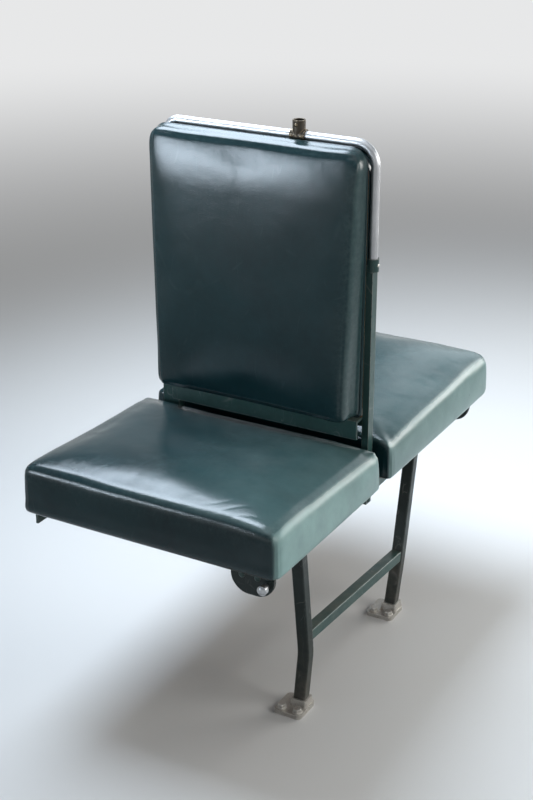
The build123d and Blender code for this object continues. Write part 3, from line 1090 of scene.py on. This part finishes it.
def raised(shape, height):
    return shape[0] + np.array([0, 0, height]), shape[1]


middleY = 0.028   # the back's middle plane
upwards, downwards, aisleward = (0, 0, 1), (0, 0, -1), (1, 0, 0)
forwards, backwards = (0, -1, 0), (0, 1, 0)

# The cushions' covers are pulled under and tacked round the boards' edges
hem = {
    "corners": (0.012, 0.012, 0.012, 0.012),
    "thickness": 0.0012,
    "puff": 0.0007,
    "short": 0.0004,       # how far it stops inside the board's faces
    "rounding": 0.0012,
    "spacing": 0.036,
    "tackRadius": 0.0033,
    "tackHeight": 0.0016,
    "tackLevel": 0.8,      # the tacks stand at this share of the hem's thickness
}


# A band round the board's edge that puffs out in a cosine between the tacks
def makeHem(side):
    low, high = boxCorners("cushion_board_" + side)
    centre = (low + high) / 2
    half = (high - low)[:2] / 2
    ring, out, length = roundedRing(half, hem["corners"], 480)
    tacks = round(length / hem["spacing"])
    puff = (1 - np.cos(2 * math.pi * tacks * np.arange(len(ring)) / len(ring))) / 2
    thick = hem["thickness"] + hem["puff"] * puff
    tall = (high - low)[2] / 2 - hem["short"]
    rim = tall - hem["rounding"]
    levels = [(-0.2, -tall), (0.5, -tall), (1, -rim), (1, rim), (0.5, tall), (-0.2, tall)]
    section = [np.stack([share * thick, np.full(len(ring), z)], axis=1) for share, z in levels]
    flat = np.zeros((len(ring), 1))
    path = np.concatenate([ring + centre[:2], flat + centre[2]], axis=1)
    out = np.concatenate([out, flat], axis=1)
    up = np.broadcast_to([0.0, 0.0, 1.0], path.shape)
    band = carried(path, out, up, np.stack(section, axis=1), True)
    smallPiece("cover_hem_" + side, band, "leathercloth")
    ring, out, length = roundedRing(half, hem["corners"], tacks)
    out = np.concatenate([out, out[:, :1] * 0], axis=1)
    places = np.concatenate([ring + centre[:2], out[:, 2:] + centre[2]], axis=1)
    places = places + out * hem["thickness"] * hem["tackLevel"]
    tack = domed(hem["tackRadius"], hem["tackHeight"])
    smallPiece("hem_tacks_" + side, copies(tack, places, out), "bare_steel")


makeHem("front")
makeHem("rear")

# A strip of leathercloth over the back board's edge, hollow where the grab rail passes close to it
edgeStrip = {
    "lowest": 0.740,
    "bend": 0.030,
    "halfWidth": 0.0088,
    "hollow": 0.0001,
    "lip": 0.0014,
    "under": -0.0002,      # how far its back lies inside the board's edge
}


# The path goes up the aisle edge, round a quarter circle and along the top. The section is a thin
# band, hollow in its middle, that turns under at its two edges
def makeEdgeStrip():
    low, high = boxCorners("back_board")
    bend = edgeStrip["bend"]
    bendX, bendZ = high[0] - bend, high[2] - bend
    risers, runners = 8, 15
    turn = np.linspace(0, math.pi / 2, 10)
    x = np.concatenate([
        np.full(risers, high[0]),
        bendX + bend * np.cos(turn),
        np.linspace(bendX, low[0], runners + 1)[1:],
    ])
    z = np.concatenate([
        np.linspace(edgeStrip["lowest"], bendZ, risers + 1)[:-1],
        bendZ + bend * np.sin(turn),
        np.full(runners, high[2]),
    ])
    angle = np.concatenate([np.zeros(risers), turn, np.full(runners, math.pi / 2)])
    still = np.zeros_like(x)
    path = np.stack([x, still + middleY, z], axis=1)
    out = np.stack([np.cos(angle), still, np.sin(angle)], axis=1)
    along = np.broadcast_to([0.0, 1.0, 0.0], path.shape)
    half = edgeStrip["halfWidth"]
    side = np.array([-1, -0.97, -0.85, -0.65, -0.4, 0, 0.4, 0.65, 0.85, 0.97, 1])
    lift = edgeStrip["hollow"] + edgeStrip["lip"] * smoothStep(np.abs(side), 0.3, 0.8)
    lift[[0, -1]] *= 0.4
    under = [(edgeStrip["under"], half), (edgeStrip["under"], -half)]
    section = np.concatenate([np.stack([lift, side * half], axis=1), under])
    smallPiece("back_edge_strip", carried(path, out, along, section, False), "leathercloth")


makeEdgeStrip()

# A piped welt in the seam between a pad's cover and its board: a thin tube with a slight twist of
# cord showing through, carried round the pad's edge
welt = {"radius": 0.0019, "cord": 0.00012, "twists": 300, "out": -0.0004, "up": 0.0040}


# The tube's radius is a cosine of the way round it plus the way along it, so that it twists
def makeWelt(side):
    low, inner, sign, size = padPlace(side)
    ring, out, _ = roundedRing(size[:2] / 2, padShape["corners"], 700)
    ring = ring + out * welt["out"] + size[:2] / 2
    flat = np.concatenate([ring, np.full((len(ring), 1), welt["up"])], axis=1)
    path = stoodUp(flat, low, inner, sign, size)
    run = np.roll(path, -1, axis=0) - np.roll(path, 1, axis=0)
    up = np.broadcast_to([0.0, sign, 0.0], path.shape)
    out = unit(np.cross(run, up)) * sign * -1.0
    turn = np.linspace(0, 2 * math.pi, 9, endpoint=False)
    along = 2 * math.pi * welt["twists"] * np.arange(len(path)) / len(path)
    radius = welt["radius"] + welt["cord"] * np.cos(along[:, None] + turn[None, :])
    section = np.stack([radius * np.cos(turn), radius * np.sin(turn)], axis=2)
    smallPiece("pad_welt_" + side, carried(path, out, up, section, True), "leathercloth")


makeWelt("front")
makeWelt("rear")

# Sheet clips that hold the pads' lower aisle corners to the board, one on each face of it
clip = {
    "low": (0.0070, 0.4812),
    "high": (0.0264, 0.5000),
    "corner": 0.004,
    "thickness": 0.0012,
    "fromMiddle": 0.0090,
}


# The clip's outline scaled by a profile of (share, height): out from the middle, up and back in
def makeClips():
    low, high = np.array(clip["low"]), np.array(clip["high"])
    ring = roundedRing((high - low) / 2, (clip["corner"],) * 4, 40)[0]
    profile = np.array([(0.0, 0.0), (1.0, 0.0), (1.0, 0.8), (0.97, 1.0), (0.0, 1.0)])
    plan = ring * profile[:, None, :1] + (low + high) / 2
    faces = gridFaces(len(profile), len(ring), wrapColumns=True)
    parts = []
    for side in (-1.0, 1.0):
        y = middleY + side * (clip["fromMiddle"] + clip["thickness"] * profile[:, 1:])
        points = np.stack([plan[..., 0], np.broadcast_to(y, plan.shape[:2]), plan[..., 1]], axis=2)
        parts.append((points.reshape(-1, 3), faces))
    smallPiece("pad_clips", joined(*parts), "bare_steel")


makeClips()

# Bolts with washers on the feet, at the legs' tops and inside the wall rail
bolt = {"flat": 0.0065, "height": 0.0055, "bevel": 0.001, "washer": 0.0088, "washerHeight": 0.0014}
wallBolt = {"flat": 0.0075, "height": 0.006, "bevel": 0.0012, "washer": 0.0095, "washerHeight": 0.0015}


# A six-sided head on a turned washer
def boltHead(sizes):
    radius, height = sizes["washer"], sizes["washerHeight"]
    profile = [(0, 0), (radius, 0), (radius, height * 0.7), (radius - height * 0.4, height), (0, height)]
    head = hexHead(sizes["flat"], sizes["height"], sizes["bevel"])
    return joined(turned(profile, 32), raised(head, height))


footPlateTop, railMetal = 0.008, 0.004
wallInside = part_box("wall_rail")[0][0] + railMetal
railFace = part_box("aisle_rail")[1][0]
floorBolts = [(x, y, footPlateTop) for x in (-0.015, 0.015) for y in (-0.181, 0.181)]
wallBolts = [(wallInside, y, 0.330) for y in (-0.127, 0.273)]
legBolts = [(railFace, y, 0.331) for y in (-0.1725, 0.2805)]

# Rivets in pairs: the first one's place, the way to the second, the way the heads look
rivet = {"radius": 0.0055, "height": 0.0034}
rivetPairs = [
    ((railFace, -0.268, 0.332), (0, -0.016, 0), aisleward),
    ((railFace, 0.413, 0.332), (0, 0.016, 0), aisleward),
    ((railFace + 0.012, middleY, 0.3245), (0, 0, 0.015), aisleward),
    ((-0.362, 0.015, 0.328), (0.015, 0, 0), forwards),
    ((-0.362, 0.041, 0.328), (0.015, 0, 0), backwards),
    ((-0.399, -0.260, 0.338), (0, 0.262, 0), downwards),
    ((-0.399, 0.054, 0.338), (0, 0.352, 0), downwards),
    ((-0.012, -0.317, 0.336), (0.028, 0, 0), forwards),
    ((-0.012, 0.463, 0.336), (0.028, 0, 0), backwards),
]
rivetPlaces = [np.add(place, step) for place, away, _ in rivetPairs for step in ((0, 0, 0), away)]
rivetAxes = [axis for _, _, axis in rivetPairs for _ in range(2)]

# Slotted screws: into the boards from below, and small ones in the boss and the pole's socket
woodScrew = {"radius": 0.0045, "height": 0.0022, "slotWidth": 0.0012, "slotDepth": 0.0013}
setScrew = {"radius": 0.0030, "height": 0.0013, "slotWidth": 0.0008, "slotDepth": 0.0008}
flangeUnder = 0.342
boardScrews = [(-0.391, y, flangeUnder) for y in (-0.305, -0.170, -0.040, 0.095, 0.270, 0.445)]
boardScrews += [(0.004, y, flangeUnder) for y in (-0.260, -0.110, -0.040, 0.110, 0.190, 0.400)]
bossScrew = [(0.0438, middleY, 0.747)]
socketX, cupRadius, sleeveRadius, sleeveEnd = -0.103, 0.0108, 0.0105, 0.009
socketScrews = [(socketX, middleY - cupRadius, 0.9605)]
socketScrews += [(socketX + side, middleY - sleeveRadius, 0.9425) for side in (-sleeveEnd, sleeveEnd)]

# Turned caps on the catches' knobs: a rim, a shallow groove and a low dome
knobCap = [(0, 0), (0.0080, 0), (0.0084, 0.0006), (0.0080, 0.0013), (0.0070, 0.0014), (0.0066, 0.0010),
           (0.0062, 0.0015), (0.0048, 0.0027), (0.0027, 0.0034), (0, 0.0036)]
knobEnds = [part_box("catch_knob_front")[0][1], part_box("catch_knob_rear")[1][1]]
knobCaps = [(0.032, y, 0.326) for y in knobEnds]

fastenings = [
    ("floor_bolts", boltHead(bolt), floorBolts, upwards, "bare_steel"),
    ("wall_bolts_inside", boltHead(wallBolt), wallBolts, aisleward, "bare_steel"),
    ("leg_bolts", boltHead(bolt), legBolts, aisleward, "leg_paint"),
    ("frame_rivets", domed(rivet["radius"], rivet["height"], 20, 6), rivetPlaces, rivetAxes, "frame_paint"),
    ("board_screws", slottedHead(**woodScrew), boardScrews, downwards, "bare_steel"),
    ("boss_screw", slottedHead(**setScrew), bossScrew, aisleward, "bare_steel"),
    ("socket_screws", slottedHead(**setScrew), socketScrews, forwards, "dark_bronze"),
    ("knob_caps", turned(knobCap, 40), knobCaps, [forwards, backwards], "bright_metal"),
]
for name, shape, places, axes, slotName in fastenings:
    smallPiece(name, copies(shape, places, axes), slotName)
print("trim and fastenings")

# Floor, backdrop and light

studio = {
    "floor": (0.62, 0.617, 0.607),
    "floorSize": 20,
    "floorRoughness": 0.7,
    "floorShine": 0.2,
    "floorFades": (1.2, 6.0),    # where the floor starts to turn into the horizon, and where it has
    "horizon": (0.80, 0.805, 0.81),
    "overhead": (0.26, 0.29, 0.32),
    "domeHeights": (0.05, 0.45),
    "fill": 0.20,                # how much of that light falls on dull surfaces
}


# 1 where the camera or a glossy surface sees it, and 0 for the rest of the light
def seenRays(tree):
    rays = put(tree, "LightPath").outputs
    return maths(tree, "MAXIMUM", rays["Is Camera Ray"], rays["Is Glossy Ray"])


def makeFloor():
    far = studio["floorSize"]
    corners = [(-far, -far, 0), (far, -far, 0), (far, far, 0), (-far, far, 0)]
    floor = meshObject("floor", corners, [(0, 1, 2, 3)], False)
    material, tree, shader = newMaterial("floorPaint")
    shader.inputs["Base Color"].default_value = (*studio["floor"], 1)
    shader.inputs["Roughness"].default_value = studio["floorRoughness"]
    shader.inputs["Specular IOR Level"].default_value = studio["floorShine"]
    place = put(tree, "TexCoord").outputs["Object"]
    away = put(tree, "VectorMath", {0: place}, operation="LENGTH").outputs["Value"]
    faded = remap(tree, away, *studio["floorFades"], smooth=True)
    glow = put(tree, "Emission", {"Color": (*studio["horizon"], 1), "Strength": 1.0}).outputs[0]
    share = maths(tree, "MULTIPLY", faded, seenRays(tree))
    both = put(tree, "MixShader", {0: share, 1: shader.outputs[0], 2: glow}).outputs[0]
    tree.links.new(both, firstNode(tree, "OUTPUT_MATERIAL").inputs["Surface"])
    floor.data.materials.append(material)


# The world goes from the horizon's colour to the one overhead as the view rises
def makeSky():
    world = bpy.data.worlds.new("studio")
    world.use_nodes = True
    tree = world.node_tree
    background = firstNode(tree, "BACKGROUND")
    direction = put(tree, "TexCoord").outputs["Generated"]
    height = put(tree, "SeparateXYZ", {0: direction}).outputs["Z"]
    dome = remap(tree, height, *studio["domeHeights"], smooth=True)
    colour = blendColour(tree, dome, studio["horizon"], studio["overhead"])
    tree.links.new(colour, background.inputs["Color"])
    strength = blendValue(tree, seenRays(tree), studio["fill"], 1.0)
    tree.links.new(strength, background.inputs["Strength"])
    scene.world = world


# Name, place, what it aims at, width and height in metres, brightness of its face seen along its
# axis, full angle of its beam in degrees, colour
seatMiddle = (-0.15, 0.02, 0.45)
lamps = [
    ("wallWindow", (-0.89, 0.50, 2.02), (-0.06, 0.45, 0.45), (1.5, 0.95), 19.5, 110, (0.74, 0.86, 1.0)),
    ("aisleBack", (1.35, 2.30, 1.05), seatMiddle, (1.6, 1.0), 9.5, 110, (1.0, 0.99, 0.96)),
    ("aisleSide", (2.40, 0.10, 1.50), seatMiddle, (1.4, 1.2), 6.2, 110, (1.0, 1.0, 0.98)),
    ("carEnd", (-0.05, 3.00, 1.70), seatMiddle, (2.3, 1.1), 2.2, 110, (0.88, 0.95, 1.0)),
    ("wallFront", (-1.63, -2.10, 1.20), (-0.22, 0.0, 0.9), (0.68, 1.0), 36.0, 28, (0.74, 0.87, 1.0)),
    ("overhead", (0.0, -0.30, 4.00), seatMiddle, (4.5, 4.5), 0.8, 180, (1.0, 1.0, 1.0)),
]


# A lamp's power: brightness times pi times area, less for a narrow beam. Its light along the axis
# grows by tan(half) / (tan(half) - half) as the beam narrows to that half angle
def makeLamps():
    for name, place, target, size, brightness, beam, colour in lamps:
        data = bpy.data.lights.new(name, "AREA")
        data.shape = "RECTANGLE"
        data.size, data.size_y = size
        half = math.radians(beam / 2)
        narrow = 1.0 if beam == 180 else math.tan(half) / (math.tan(half) - half)
        data.energy = brightness * math.pi * size[0] * size[1] / narrow
        data.spread = 2 * half
        data.color = colour
        aimAt(bpy.data.objects.new(name, data), place, target)


makeFloor()
makeSky()
makeLamps()
print("studio")
